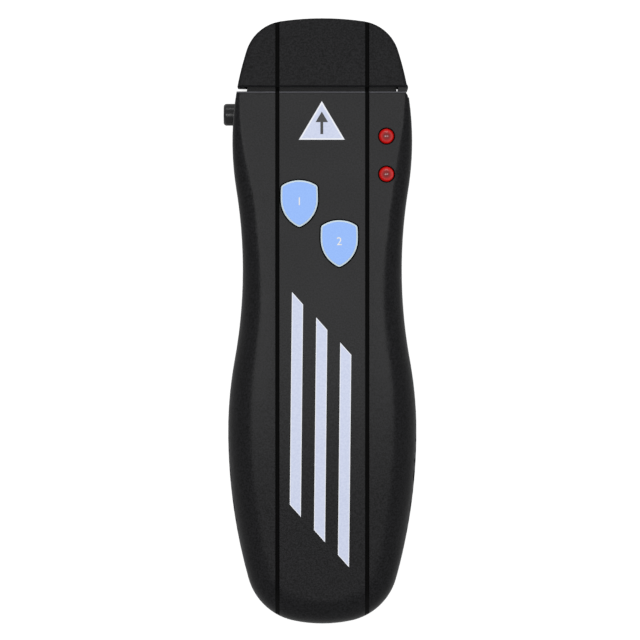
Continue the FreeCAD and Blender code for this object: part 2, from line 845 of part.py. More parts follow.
def key(at):
    """A shield key with a softened top edge, a flange under the shell and a foot on the switch."""
    top = case_thickness + key_proud
    cap = shield(at, 0, key_flange_top - 0.1, top)
    rim = [e for e in cap.Edges if e.BoundBox.ZMin > top - 0.01]
    cap = cap.makeChamfer(key_bevel, rim)
    flange = shield(at, key_flange, key_flange_bottom, key_flange_top)
    return fuse([cap, flange])


def switch_body(at):
    """The square case of a tactile switch, open at the top for its button."""
    half = switch_size / 2
    case = box(at[0] - half, at[0] + half, at[1] - half, at[1] + half, board_top, board_top + switch_height)
    well_low = board_top + switch_well
    well = rod(switch_button_radius + 0.1, (at[0], at[1], well_low), (at[0], at[1], board_top + 10))
    return case.cut(well)


def switch_button(at):
    """The round button of a tactile switch; it moves with the key."""
    low = board_top + switch_well + key_travel + 0.15
    return rod(switch_button_radius, (at[0], at[1], low), (at[0], at[1], key_flange_bottom))


# ---- board, indicators and leads ------------------------------------------------------------------

def circuit_board():
    """The board follows the case, with clearance holes for the case bosses and its own screws."""
    board = Part.Face(outline(wall + board_clearance)).extrude(V(0, 0, board_thickness))
    board.translate(V(0, 0, board_bottom))
    board = board.common(box(-beyond, beyond, board_low_y, board_high_y, 0, case_thickness))
    holes = [rod(boss_radius + 0.3, (x, y, 0), (x, y, case_thickness)) for x, y in screw_places(upper_screw_at)]
    holes += [rod(board_screw_radius + 0.15, (x, y, 0), (x, y, case_thickness)) for x, y in board_screws_at]
    return board.cut(holes)


def indicator_led(y):
    """A small domed lamp with its rim, standing in the shell's hole."""
    top = case_thickness + led_proud
    foot = board_top + 3.0
    straight = rod(led_radius, (led_x, y, foot), (led_x, y, top - led_radius))
    dome = Part.makeSphere(led_radius, V(led_x, y, top - led_radius))
    rim = rod(led_radius + 0.35, (led_x, y, foot), (led_x, y, foot + 0.9))
    return fuse([straight, dome, rim])


def led_legs():
    """The leads of the indicators and of the torch lamp."""
    legs = []
    for y in (led_high_y, led_low_y):
        for offset in (-0.64, 0.64):
            legs.append(rod(0.25, (led_x, y + offset, board_top), (led_x, y + offset, board_top + 3.0)))
    foot_y = torch_foot_y()
    for offset in (-0.64, 0.64):
        x = torch_x + offset
        legs.append(bent_lead(0.25, [(x, foot_y, port_z), (x, foot_y - 1.6, port_z), (x, foot_y - 1.6, board_bottom)]))
    return legs


def driver_chip():
    """The small chip that drives the laser, with its row of feet on each side."""
    x = chip_x
    y = board_low_y + chip_above_board_end
    body = box(x - 1.95, x + 1.95, y - 2.45, y + 2.45, board_top + 0.15, board_top + 1.6)
    feet = []
    for i in range(4):
        foot_y = y - 1.905 + 1.27 * i
        feet.append(box(x - 3.0, x + 3.0, foot_y - 0.2, foot_y + 0.2, board_top, board_top + 0.3))
    return fuse([body] + feet)


# ---- the optics -----------------------------------------------------------------------------------

def port_adapter():
    """The metal tube a connector's ferrule enters, with the flange that the shells trap."""
    flange_top = end_wall_inner_y - 0.05
    flange_low = flange_top - adapter_flange
    rear = flange_low - adapter_shoulder
    sleeve_low = sleeve_low_y() - 0.1
    sleeve_bore = ferrule_bore_radius + sleeve_wall + 0.04
    mouth = ferrule_bore_radius + 0.12
    tip = adapter_tip_y
    return turned([
        (2.3, rear), (3.9, rear), (3.9, flange_low), (adapter_flange_radius, flange_low),
        (adapter_flange_radius, flange_top), (adapter_radius, flange_top), (adapter_radius, tip - 0.5),
        (adapter_radius - 0.5, tip), (mouth + 0.5, tip), (mouth, tip - 0.4), (mouth, tip - 0.6),
        (sleeve_bore, tip - 0.6), (sleeve_bore, sleeve_low), (light_hole_radius, sleeve_low),
        (light_hole_radius, rear + 1.9), (2.3, rear + 1.9),
    ], port_x, port_z)


def sleeve_low_y():
    """Lower end of the ceramic sleeve inside the adapter."""
    return adapter_tip_y - 0.65 - sleeve_length


def ferrule_sleeve():
    """The split ceramic sleeve that lines up the ferrule."""
    low = sleeve_low_y()
    inner = ferrule_bore_radius
    outer = inner + sleeve_wall
    high = low + sleeve_length
    tube = turned([(inner, low), (outer, low), (outer, high), (inner, high)], port_x, port_z)
    slit = box(port_x - sleeve_slit / 2, port_x + sleeve_slit / 2, low - 1, high + 1, port_z, port_z + 3)
    return tube.cut(slit)


def barrel_front_y():
    """The shoulder where the laser barrel meets the adapter."""
    return end_wall_inner_y - 0.05 - adapter_flange - adapter_shoulder - 0.05


def laser_barrel():
    """The turned brass barrel: a pocket for the diode, a seat for the lens and a nose for the adapter."""
    front = barrel_front_y()
    rear = front - barrel_length
    seat = lens_radius + 0.03
    return turned([
        (1.95, rear), (barrel_radius - 0.3, rear), (barrel_radius, rear + 0.3), (barrel_radius, front),
        (2.2, front), (2.2, front + 1.8), (0.9, front + 1.8), (0.9, front - 5.0), (seat, front - 5.0),
        (seat, front - 9.0), (1.5, front - 9.0), (1.5, rear + 2.6), (1.95, rear + 2.6),
    ], port_x, port_z)


def laser_diode():
    """The diode: a round base with a can, and three pins at the back."""
    rear = barrel_front_y() - barrel_length
    base = rod(1.9, (port_x, rear + 0.6, port_z), (port_x, rear + 1.8, port_z))
    can = rod(1.35, (port_x, rear + 1.8, port_z), (port_x, rear + 3.6, port_z))
    pins = []
    for i in range(3):
        angle = math.radians(90 + 120 * i)
        x = port_x + 0.75 * math.cos(angle)
        z = port_z + 0.75 * math.sin(angle)
        pins.append(rod(0.2, (x, rear - 2.5, z), (x, rear + 0.6, z)))
    return fuse([base, can] + pins)


def laser_leads():
    """Two leads from the diode's lower pins up to the board."""
    rear = barrel_front_y() - barrel_length
    leads = []
    for sign in (-1, 1):
        x = port_x + sign * 0.75 * math.cos(math.radians(30))
        z = port_z - 0.375
        leads.append(bent_lead(0.3, [(x, rear - 2.5, z), (x, rear - 3.5, z), (x, rear - 3.5, board_bottom)]))
    return leads


def collimating_lens():
    """A lens with two bulging faces, in the barrel's seat."""
    middle = barrel_front_y() - 7.0
    face_radius = 3.2
    half_thickness = 1.0
    lens = rod(lens_radius, (port_x, middle - half_thickness, port_z), (port_x, middle + half_thickness, port_z))
    for side in (-1, 1):
        centre = V(port_x, middle + side * (half_thickness - face_radius), port_z)
        lens = lens.common(Part.makeSphere(face_radius, centre))
    return lens


def torch_foot_y():
    """Back of the torch lamp."""
    return collar_top_y - 0.2 - torch_length


def torch_led():
    """The white lamp of the pocket torch, pointing out beside the port."""
    foot = torch_foot_y()
    tip = foot + torch_length
    body = rod(torch_radius, (torch_x, foot, port_z), (torch_x, tip - torch_radius, port_z))
    dome = Part.makeSphere(torch_radius, V(torch_x, tip - torch_radius, port_z))
    rim = rod(torch_radius + torch_rim, (torch_x, foot, port_z), (torch_x, foot + 1.0, port_z))
    return fuse([body, dome, rim])


def torch_bezel():
    """The bright ring round the torch lamp, with a flared inside."""
    low = end_wall_inner_y + 0.3
    top = collar_top_y + 0.6
    narrow = torch_radius + 0.15
    wide = bezel_radius - 0.35
    flange = bezel_radius + 0.5
    return turned([
        (narrow, low), (bezel_radius, low), (bezel_radius, collar_top_y), (flange, collar_top_y),
        (flange, top - 0.2), (flange - 0.2, top), (wide, top), (narrow, low + 0.8),
    ], torch_x, port_z)


# ---- cells and contacts ---------------------------------------------------------------------------

def cell(x, nub_end, direction):
    """A cell with its raised positive end at nub_end, lying away from it along direction."""
    shoulder = nub_end + direction * cell_nub
    can = rod(cell_radius, (x, shoulder, cell_z), (x, nub_end + direction * cell_length, cell_z))
    can = can.makeChamfer(0.3, [e for e in can.Edges if e.BoundBox.YLength < 0.01])
    nub = rod(cell_nub_radius, (x, nub_end, cell_z), (x, shoulder, cell_z))
    return fuse([can, nub])


def cell_ends():
    """Y of the left cell's upper nub and of the right cell's lower nub."""
    return bay_top_y - contact_thickness - cell_gap, bay_low_y + contact_thickness + cell_gap


def contact_plate(x):
    """A flat contact on the bay's upper wall, with a tab over the wall to the board."""
    half = contact_half_width
    low_y = bay_top_y - contact_thickness
    high_y = board_low_y + contact_tab_half_width
    top = board_bottom
    tab_half = contact_tab_half_width
    plate = box(x - half, x + half, low_y, bay_top_y, cell_z - contact_drop, top)
    tab = box(x - tab_half, x + tab_half, low_y, high_y, top - contact_thickness, top)
    return fuse([plate, tab])


def bridge_contact():
    """The lower contact, which joins the two cells."""
    reach = cell_pitch / 2 + contact_half_width
    high_y = bay_low_y + contact_thickness
    return box(-reach, reach, bay_low_y, high_y, cell_z - contact_drop, cell_z + contact_drop)


def cell_spring(length):
    """A conical spring standing on its wide end."""
    return coil(cell_spring_radius, cell_spring_tip_radius, cell_spring_wire, length, cell_spring_turns)


def battery_springs():
    """The conical springs on the two negative ends."""
    length = cell_spring_length - cell_gap / 2
    lower = cell_spring(length)
    lower.rotate(V(0, 0, 0), X_AXIS, -90)
    lower.translate(V(-cell_pitch / 2, bay_low_y + contact_thickness, cell_z))
    upper = cell_spring(length)
    upper.rotate(V(0, 0, 0), X_AXIS, 90)
    upper.translate(V(cell_pitch / 2, bay_top_y - contact_thickness, cell_z))
    return [lower, upper]


# ---- screws ---------------------------------------------------------------------------------------

def screw(x, y, head_z, radius, head_radius, head_height, length):
    """A pan-head screw that points up, its head's bearing face at head_z, with a slot for the driver."""
    head = rod(head_radius, (x, y, head_z - head_height), (x, y, head_z))
    shank = rod(radius, (x, y, head_z), (x, y, head_z + length))
    slot = box(x - head_radius * 0.7, x + head_radius * 0.7, y - 0.2, y + 0.2, head_z - head_height - 1,
               head_z - head_height + 0.4)
    return fuse([head, shank]).cut(slot)


def case_screws():
    """The screws that join the shells, driven from the back."""
    seat = screw_seat_z()
    length = part_z + screw_bite - seat
    sizes = (screw_radius, screw_head_radius, screw_head_height, length)
    return [screw(x, y, seat, *sizes) for x, y in case_screw_places()]


def board_screws():
    """The screws that hold the board up to the front shell."""
    length = board_thickness + board_screw_bite
    sizes = (board_screw_radius, board_screw_head_radius, board_screw_head_height, length)
    return [screw(x, y, board_bottom, *sizes) for x, y in board_screws_at]


# ---- build ----------------------------------------------------------------------------------------

case_form = body_form()
case_hollow = body_inside(wall, end_wall_inner_y, inner_edge_cut)
left_cell_x = -cell_pitch / 2
upper_nub_y, lower_nub_y = cell_ends()

save("front_cover", [front_cover(case_form, case_hollow)])
save("rear_cover", [rear_cover(case_form, case_hollow)])
save("battery_door", [battery_door(case_form)])
save("case_screws", case_screws())

cap_grooves = grooves(cap_side(groove_depth, cap_low_y), cap_low_y, half_length + 1)
save("flip_cap", [flip_cap().cut(cap_grooves)])
save("cap_hinge_pin", [cap_hinge_pin()])
save("cap_torsion_spring", [cap_torsion_spring()])
save("cap_seal", [cap_seal()])
save("release_button", [release_button()])
save("release_spring", [release_spring()])

for name, at in (("lamp", lamp_key_at), ("laser", laser_key_at)):
    save(name + "_key", [key(at)])
    save(name + "_switch", [switch_body(at)])
    save(name + "_switch_button", [switch_button(at)])

save("circuit_board", [circuit_board()])
save("board_screws", board_screws())
save("driver_chip", [driver_chip()])
save("indicator_led_upper", [indicator_led(led_high_y)])
save("indicator_led_lower", [indicator_led(led_low_y)])
save("led_legs", led_legs())

save("port_adapter", [port_adapter()])
save("ferrule_sleeve", [ferrule_sleeve()])
save("laser_barrel", [laser_barrel()])
save("laser_diode", [laser_diode()])
save("laser_leads", laser_leads())
save("collimating_lens", [collimating_lens()])
save("torch_led", [torch_led()])
save("torch_bezel", [torch_bezel()])

save("battery_left", [cell(left_cell_x, upper_nub_y, -1)])
save("battery_right", [cell(-left_cell_x, lower_nub_y, 1)])
save("battery_springs", battery_springs())
save("positive_contact", [contact_plate(left_cell_x)])
save("negative_contact", [contact_plate(-left_cell_x)])
save("bridge_contact", [bridge_contact()])
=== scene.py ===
import math

import bpy
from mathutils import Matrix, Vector


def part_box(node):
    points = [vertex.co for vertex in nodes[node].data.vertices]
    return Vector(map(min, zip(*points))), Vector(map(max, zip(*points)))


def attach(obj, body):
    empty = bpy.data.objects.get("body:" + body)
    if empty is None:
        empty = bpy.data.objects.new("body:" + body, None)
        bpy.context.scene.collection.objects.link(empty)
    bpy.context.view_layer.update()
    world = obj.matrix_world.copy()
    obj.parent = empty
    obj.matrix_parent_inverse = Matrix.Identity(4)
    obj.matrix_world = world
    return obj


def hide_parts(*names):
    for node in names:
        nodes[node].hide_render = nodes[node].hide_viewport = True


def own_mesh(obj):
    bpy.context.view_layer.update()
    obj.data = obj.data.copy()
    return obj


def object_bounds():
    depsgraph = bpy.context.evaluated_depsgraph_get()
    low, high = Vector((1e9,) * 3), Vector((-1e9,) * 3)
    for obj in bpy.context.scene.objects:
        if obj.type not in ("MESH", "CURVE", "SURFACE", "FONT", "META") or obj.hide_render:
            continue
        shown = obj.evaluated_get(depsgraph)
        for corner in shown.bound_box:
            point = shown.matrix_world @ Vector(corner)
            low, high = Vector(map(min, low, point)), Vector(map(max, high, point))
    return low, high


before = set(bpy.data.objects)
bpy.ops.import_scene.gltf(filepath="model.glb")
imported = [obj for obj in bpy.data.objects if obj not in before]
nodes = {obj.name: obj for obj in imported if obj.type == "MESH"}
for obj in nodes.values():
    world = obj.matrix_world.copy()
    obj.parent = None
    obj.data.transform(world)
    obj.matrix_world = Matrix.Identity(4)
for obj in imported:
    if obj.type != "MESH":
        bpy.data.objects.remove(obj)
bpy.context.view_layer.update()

mm = 0.001


# ---- Back shell --------------------------------------------------------------------------------------
# The back half of the case, injection moulded in black ABS with a fine spark-eroded grain. It carries
# the cell bay, the screw bosses and the saddles of the optics, and lies flat on the table.

class Signal:
    """The output of one shader node; arithmetic on it adds Math nodes."""

    def __init__(self, finish, socket):
        self.finish = finish
        self.socket = socket

    def math(self, operation, *terms):
        return self.finish.node("ShaderNodeMath", {"operation": operation}, dict(enumerate(terms)))

    def __add__(self, other):
        return self.math("ADD", self, other)

    def __sub__(self, other):
        return self.math("SUBTRACT", self, other)

    def __rsub__(self, other):
        return self.math("SUBTRACT", other, self)

    def __mul__(self, other):
        return self.math("MULTIPLY", self, other)

    def __truediv__(self, other):
        return self.math("DIVIDE", self, other)

    def __pow__(self, other):
        return self.math("POWER", self, other)

    __radd__ = __add__

    def size(self):
        return self.math("ABSOLUTE", self)

    def within(self, low, high):
        """0 below low, 1 above high, and a smooth step between."""
        inputs = {"Value": self, "From Min": low, "From Max": high}
        return self.finish.node("ShaderNodeMapRange", {"interpolation_type": "SMOOTHSTEP"}, inputs)


class Finish:
    """A material under construction on the principled shader."""

    def __init__(self, name, **constants):
        self.material = bpy.data.materials.new(name)
        self.material.use_nodes = True
        self.tree = self.material.node_tree
        self.shader = self.tree.nodes["Principled BSDF"]
        for socket, value in constants.items():
            self.set(socket.replace("_", " "), value)

    def node(self, kind, settings=None, inputs=None, output=0):
        """Adds any node: its settings first, then the values or links of its sockets."""
        made = self.tree.nodes.new(kind)
        for name, value in (settings or {}).items():
            setattr(made, name, value)
        for key, value in (inputs or {}).items():
            self.feed(made.inputs[key], value)
        return Signal(self, made.outputs[output])

    def feed(self, socket, value):
        if isinstance(value, Signal):
            self.tree.links.new(value.socket, socket)
        else:
            socket.default_value = value

    def set(self, socket, value):
        self.feed(self.shader.inputs[socket], value)

    def place(self, stretch=(1, 1, 1), centre=(0, 0, 0)):
        """Object coordinates, centred on a point and stretched, in metres."""
        here = self.node("ShaderNodeTexCoord", output="Object")
        location = [-c * s for c, s in zip(centre, stretch)]
        inputs = {"Vector": here, "Location": location, "Scale": stretch}
        return self.node("ShaderNodeMapping", None, inputs)

    def along(self, axis, centre=0.0):
        """Distance along one axis from a centre, in metres."""
        return self.node("ShaderNodeSeparateXYZ", None, {0: self.place()}, axis) - centre

    def noise(self, scale, detail=2.0, roughness=0.5, stretch=(1, 1, 1)):
        """Cloudy noise about 0.5, with the scale in features a metre."""
        inputs = {"Vector": self.place(stretch), "Scale": scale, "Detail": detail, "Roughness": roughness}
        return self.node("ShaderNodeTexNoise", None, inputs)

    def blend(self, share, first, second):
        """A colour between two colours."""
        settings = {"data_type": "RGBA"}
        return self.node("ShaderNodeMix", settings, {0: share, 6: first, 7: second}, 2)

    def bump(self, height, depth, strength=1.0):
        """Raises the surface by height times depth, in metres."""
        inputs = {"Height": height, "Distance": depth, "Strength": strength}
        self.set("Normal", self.node("ShaderNodeBump", None, inputs))


def shade(red, green, blue):
    """A colour written as it looks, 0 to 255, turned into linear light."""
    def linear(level):
        level = level / 255
        return level / 12.92 if level <= 0.04045 else ((level + 0.055) / 1.055) ** 2.4
    return (linear(red), linear(green), linear(blue), 1.0)


def wear(finish, *names):
    """Gives the named CAD nodes one finish all over."""
    for name in names:
        slots = nodes[name].data.materials
        slots.clear()
        slots.append(finish.material)
        nodes[name].data.shade_smooth()


def moulded(name, colour, paler, roughness, grain, depth, shine=0.5, channels=None):
    """Moulded plastic: a fine pebbled grain, and slow patches where the melt met the mould.

    Channels, if given, is how far from the middle a pair of lengthwise grooves lies. Inside them the colour
    is painted shade, near black, and the finish matt; the edge that meets the cap carries a pale painted
    highlight.
    """
    finish = Finish(name, Specular_IOR_Level=shine)
    pebble = finish.noise(grain, 2.0, 0.6)
    patch = finish.noise(90, 2.0)
    skin = finish.blend(pebble.within(0.3, 0.7), colour, paler)
    rough = roughness + (patch - 0.5) * 0.06 + (pebble - 0.5) * 0.16
    if channels:
        # Painted highlight: a pale line along the body's edge where it meets the cap, in base colour only.
        clear_of_painted_highlight = finish.along(1, cap_edge_y).size().within(0.08 * mm, 0.22 * mm)
        skin = finish.blend(clear_of_painted_highlight, shade(92, 92, 97), skin)
        # Painted shade: the groove floors and walls turn near black, standing for the shade down in the
        # grooves.
        inside = (finish.along(0).size() - channels).size().within(0.44 * mm, 0.40 * mm)
        skin = finish.blend(inside, skin, shade(6, 6, 6))
        rough = rough + inside * 0.5
    finish.set("Base Color", skin)
    finish.set("Roughness", rough)
    finish.bump(pebble, depth)
    return finish


groove_centre = 9.0 * mm
cap_edge_y = 45.95 * mm
case_sizes = (shade(16, 16, 17), shade(34, 34, 36), 0.33, 3000, 0.00002, 0.12)
case_black = moulded("case_black", *case_sizes)
wear(case_black, "rear_cover")


# ---- Cells and contacts ------------------------------------------------------------------------------
# Two AAA cells lie side by side in the bay, each a steel can in a printed sleeve. They are held between
# nickel-plated spring-steel contacts at their ends, two plates and two springs above and a bridge below.

def drawn_metal(name, colour, roughness, stretch=(1, 1, 1)):
    """Drawn or rolled bright metal with faint lines along its length."""
    finish = Finish(name, Metallic=1.0)
    lines = finish.noise(2500, 3.0, 0.6, stretch)
    dark = tuple(c * 0.82 for c in colour[:3]) + (1.0,)
    finish.set("Base Color", finish.blend(lines, dark, colour))
    finish.set("Roughness", roughness + (lines - 0.5) * 0.16)
    finish.bump(lines, 0.00001, 0.3)
    return finish


def cell_sleeve():
    """A plain dark sleeve with one silver band, and bare steel at the two ends of the can."""
    low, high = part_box("battery_left")
    finish = Finish("cell_sleeve", Coat_Weight=0.3)
    middle = (low.y + high.y) / 2
    off = finish.along(1, middle).size()
    bare = off.within((high.y - low.y) / 2 - 1.5 * mm, (high.y - low.y) / 2 - 1.4 * mm)
    band = finish.along(1, high.y - 11 * mm).size().within(3.1 * mm, 3.0 * mm)
    print_noise = finish.noise(1500)
    sleeve = finish.blend(print_noise, shade(30, 32, 36), shade(38, 40, 46))
    sleeve = finish.blend(band, sleeve, shade(150, 152, 156))
    finish.set("Base Color", finish.blend(bare, sleeve, shade(190, 190, 188)))
    finish.set("Metallic", bare)
    finish.set("Roughness", 0.32 + print_noise * 0.08)
    return finish


wear(cell_sleeve(), "battery_left", "battery_right")
contact_steel = drawn_metal("contact_steel", shade(205, 202, 194), 0.28, (1, 1, 0.05))
wear(contact_steel, "positive_contact", "negative_contact", "bridge_contact", "battery_springs")


# ---- Battery door ------------------------------------------------------------------------------------
# A flat sliding lid in the back shell, moulded in the same black plastic and flush with the back.

wear(case_black, "battery_door")


# ---- Board and switches ------------------------------------------------------------------------------
# A glass-epoxy board under green solder mask, screwed to two bosses. It carries the driver chip and two
# tactile switches, whose round buttons the keys press.

def solder_mask():
    """Green lacquer over copper tracks, which show through as paler lines."""
    finish = Finish("solder_mask", Coat_Weight=0.5)
    across = finish.along(0) / (1.27 * mm)
    along = finish.along(1) / (2.54 * mm)
    bend = finish.noise(120, 0.0)
    track = ((across + bend * 3).math("FRACT", across + bend * 3) - 0.5).size().within(0.16, 0.12)
    cross = (along.math("FRACT", along) - 0.5).size().within(0.10, 0.07)
    copper = track.math("MAXIMUM", track, cross)
    finish.set("Base Color", finish.blend(copper, shade(12, 74, 42), shade(30, 110, 62)))
    finish.set("Roughness", 0.30 + finish.noise(3000) * 0.15)
    finish.bump(copper, 0.00003, 0.5)
    return finish


wear(solder_mask(), "circuit_board")
chip_black = moulded("chip_black", shade(22, 22, 23), shade(34, 34, 35), 0.55, 6000, 0.00001)
wear(chip_black, "driver_chip", "lamp_switch", "laser_switch")
switch_grey = moulded("switch_grey", shade(118, 118, 120), shade(130, 130, 132), 0.5, 5000, 0.00001)
wear(switch_grey, "lamp_switch_button", "laser_switch_button")
screw_steel = drawn_metal("screw_steel", shade(188, 188, 186), 0.34)
wear(screw_steel, "board_screws")
tinned_wire = drawn_metal("tinned_wire", shade(208, 208, 210), 0.3)
wear(tinned_wire, "led_legs", "laser_leads")


# ---- Laser and port ----------------------------------------------------------------------------------
# A turned brass barrel holds the laser diode and its lens. It screws into the nickel-plated adapter, in
# which a split zirconia sleeve lines up the ferrule that is pushed in from the end of the case.

def turned_metal(name, colour, roughness):
    """Metal from the lathe: fine rings round the part's own axis, which lies along Y."""
    finish = Finish(name, Metallic=1.0)
    rings = finish.noise(5000, 2.0, 0.6, (0.02, 1, 0.02))
    dark = tuple(c * 0.8 for c in colour[:3]) + (1.0,)
    finish.set("Base Color", finish.blend(rings, dark, colour))
    finish.set("Roughness", roughness + (rings - 0.5) * 0.14)
    finish.bump(rings, 0.00001, 0.35)
    return finish


def zirconia():
    """Ground white ceramic, hard and slightly waxy."""
    finish = Finish("zirconia", Coat_Weight=0.4)
    speck = finish.noise(4000)
    finish.set("Base Color", finish.blend(speck, shade(232, 229, 220), shade(244, 243, 238)))
    finish.set("Roughness", 0.22 + speck * 0.1)
    return finish


def clear_resin(name, tint):
    """Clear glass or epoxy, with the faint waviness of a moulded lens."""
    finish = Finish(name, Transmission_Weight=0.85, IOR=1.5, Coat_Weight=0.5)
    wave = finish.noise(300)
    finish.set("Base Color", finish.blend(wave, tint, shade(244, 247, 250)))
    finish.set("Roughness", 0.04 + wave * 0.05)
    return finish


nickel = turned_metal("nickel", shade(214, 209, 200), 0.22)
wear(nickel, "port_adapter", "torch_bezel")
wear(turned_metal("brass", shade(206, 170, 98), 0.26), "laser_barrel")
wear(turned_metal("gold_flash", shade(222, 184, 104), 0.2), "laser_diode")
wear(zirconia(), "ferrule_sleeve")
wear(clear_resin("lens_glass", shade(226, 236, 240)), "collimating_lens")


# ---- Torch -------------------------------------------------------------------------------------------
# A clear 5 mm lamp with a domed epoxy case stands beside the port, in a nickel-plated bezel.

wear(clear_resin("torch_resin", shade(236, 240, 244)), "torch_led")


# ---- Indicator lamps ---------------------------------------------------------------------------------
# Two red 3 mm lamps, cast in tinted epoxy. Their domes stand out of clearance holes in the front, with
# the darker die cup showing through the middle.

def red_resin(name, node):
    """Red epoxy: bright round the rim of the dome, dark over the die cup in the middle, and painted shade
    lower down in the hole.
    """
    low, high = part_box(node)
    centre = (low + high) / 2
    finish = Finish(name, Coat_Roughness=0.03, Specular_IOR_Level=0.3)
    across = finish.along(0, centre.x)
    along = finish.along(1, centre.y)
    radius = (across * across + along * along) ** 0.5
    rim = radius.within(0.4 * mm, 1.35 * mm)
    # Painted shade: the lower part of the lamp, down in the clearance hole, near black and matt.
    painted_hole_shade = finish.along(2, high.z).size().within(1.2 * mm, 1.5 * mm)
    haze = finish.noise(900)
    red = finish.blend(rim, shade(104, 4, 5), shade(228, 14, 12))
    red = finish.blend(haze * 0.2, red, shade(238, 34, 26))
    finish.set("Base Color", finish.blend(painted_hole_shade, red, shade(14, 4, 4)))
    finish.set("Coat Weight", 1 - painted_hole_shade)
    finish.set("Roughness", 0.3 + haze * 0.08 + painted_hole_shade * 0.6)
    return finish


for lamp in ("indicator_led_upper", "indicator_led_lower"):
    wear(red_resin(lamp + "_resin", lamp), lamp)


# ---- Front shell -------------------------------------------------------------------------------------
# The front half of the case, moulded in the same black plastic and held by four screws from the back.
# Its side panels are level by the seam and roll over towards the edge at the waist and grip. A merged
# copy of the CAD shell stands here for it: its panels are cut into a grid and only ever lowered.

def start_clean():
    if bpy.context.object and bpy.context.object.mode != "OBJECT":
        bpy.ops.object.mode_set(mode="OBJECT")
    bpy.ops.object.select_all(action="DESELECT")


def own_copy(node, name):
    """A merged copy of a CAD piece, to be shaped further in its place."""
    start_clean()
    nodes[node].select_set(True)
    bpy.context.view_layer.objects.active = nodes[node]
    bpy.ops.object.duplicate()
    piece = bpy.context.object
    piece.name = name
    piece.data.name = name
    bpy.ops.object.mode_set(mode="EDIT")
    bpy.ops.mesh.select_all(action="SELECT")
    bpy.ops.mesh.remove_doubles(threshold=0.001 * mm)
    bpy.ops.mesh.customdata_custom_splitnormals_clear()
    bpy.ops.object.mode_set(mode="OBJECT")
    return piece


def steps_between(value, stations):
    """A value read off a list of (place, value) pairs in rising order, eased between them."""
    if value <= stations[0][0]:
        return stations[0][1]
    for (low, first), (high, second) in zip(stations, stations[1:]):
        if value <= high:
            share = (value - low) / (high - low)
            return first + (second - first) * share ** 2 * (3 - 2 * share)
    return stations[-1][1]


# Each list gives lengths in millimetres as (place along the case, value).
panel_starts = 9.45 * mm
panel_columns = [9.9 + 0.6 * k for k in range(15)]
panel_rows = range(-52, 42, 2)
band_depth = 5.7 * mm
level_probe_x = 9.75 * mm
edge_probe_z = 13.5 * mm
outside = 0.03
panel_round = [(-25, 5.0), (0, 4.1), (10, 3.8), (20, 3.8), (25, 3.7), (30, 3.2), (35, 2.5), (42, 1.3)]
panel_roll = [(-8, 1.5), (6, 1.15), (18, 0.35), (30, 0.0)]
panel_fades = [(-50, 0.0), (-40, 1.0), (37, 1.0), (41, 0.0)]
shell = nodes["front_cover"]
shell_low, shell_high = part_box("front_cover")


def first_hit(origin, direction):
    found, place, normal, face = shell.ray_cast(origin, direction)
    return place if found else None


level_at = {}
edge_at = {}
for step in range(round(shell_low.y / mm), round(shell_high.y / mm) + 1):
    y = step * mm
    under = first_hit((level_probe_x, y, outside), (0, 0, -1))
    beside = first_hit((outside, y, edge_probe_z), (-1, 0, 0))
    if under and beside:
        level_at[step] = under.z
        edge_at[step] = beside.x


def read(table, y):
    """A value between the two nearest whole millimetres of a table."""
    y = min(max(y / mm, min(table)), max(table) - 0.001)
    low = math.floor(y)
    return table[low] + (table[low + 1] - table[low]) * (y - low)


def on_panel(face):
    """The outward skin beside the grooves, down to the foot of its rounded edge."""
    return (face.normal.z > 0.04 and abs(face.center.x) > panel_starts
            and face.center.z > read(level_at, face.center.y) - band_depth)


front = own_copy("front_cover", "front_shell")
cuts = [((side * x * mm, 0, 0), (1, 0, 0)) for side in (-1, 1) for x in panel_columns]
cuts += [((0, y * mm, 0), (0, 1, 0)) for y in panel_rows]
for place, across in cuts:
    for face in front.data.polygons:
        face.select = on_panel(face)
    bpy.ops.object.mode_set(mode="EDIT")
    bpy.ops.mesh.bisect(plane_co=place, plane_no=across)
    bpy.ops.object.mode_set(mode="OBJECT")

rolled = {corner for face in front.data.polygons if on_panel(face) for corner in face.vertices}
for corner in rolled:
    spot = front.data.vertices[corner].co
    edge = read(edge_at, spot.y)
    inside = max(0.0, edge - abs(spot.x))
    radius = steps_between(spot.y / mm, panel_round) * mm
    roll = steps_between(spot.y / mm, panel_roll) * mm
    share = min(1.0, max(0.0, (abs(spot.x) - panel_starts) / (edge - panel_starts)))
    drop = roll * share ** 2
    if inside < radius:
        drop += radius - math.sqrt(radius ** 2 - (radius - inside) ** 2)
    fade = steps_between(spot.y / mm, panel_fades)
    spot.z += min(0.0, read(level_at, spot.y) - drop - spot.z) * fade

start_clean()
front.select_set(True)
bpy.context.view_layer.objects.active = front
bpy.ops.object.shade_smooth_by_angle(angle=math.radians(32))
bpy.ops.object.modifier_add(type="WEIGHTED_NORMAL")
front.modifiers[-1].keep_sharp = True
bpy.ops.object.modifier_apply(modifier=front.modifiers[-1].name)
case_face = moulded("case_face", *case_sizes, channels=groove_centre)
front.data.materials.clear()
front.data.materials.append(case_face.material)
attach(front, "housing")
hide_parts("front_cover")
wear(case_face, "front_cover")


# ---- Print on the front ------------------------------------------------------------------------------
# Pad-printed ink: three leaning stripes below the keys, and a triangle with a plain dark arrow towards
# the port. The pale blue ink is edged in white. Each mark is a thin film laid on the shell.

def ink(name, colour, paler):
    """Dry pad-print ink, thin and slightly uneven."""
    finish = Finish(name)
    speck = finish.noise(2600, 3.0)
    finish.set("Base Color", finish.blend(speck.within(0.3, 0.7), colour, paler))
    finish.set("Roughness", 0.5 + (speck - 0.5) * 0.2)
    finish.bump(speck, 0.000012, 0.4)
    return finish


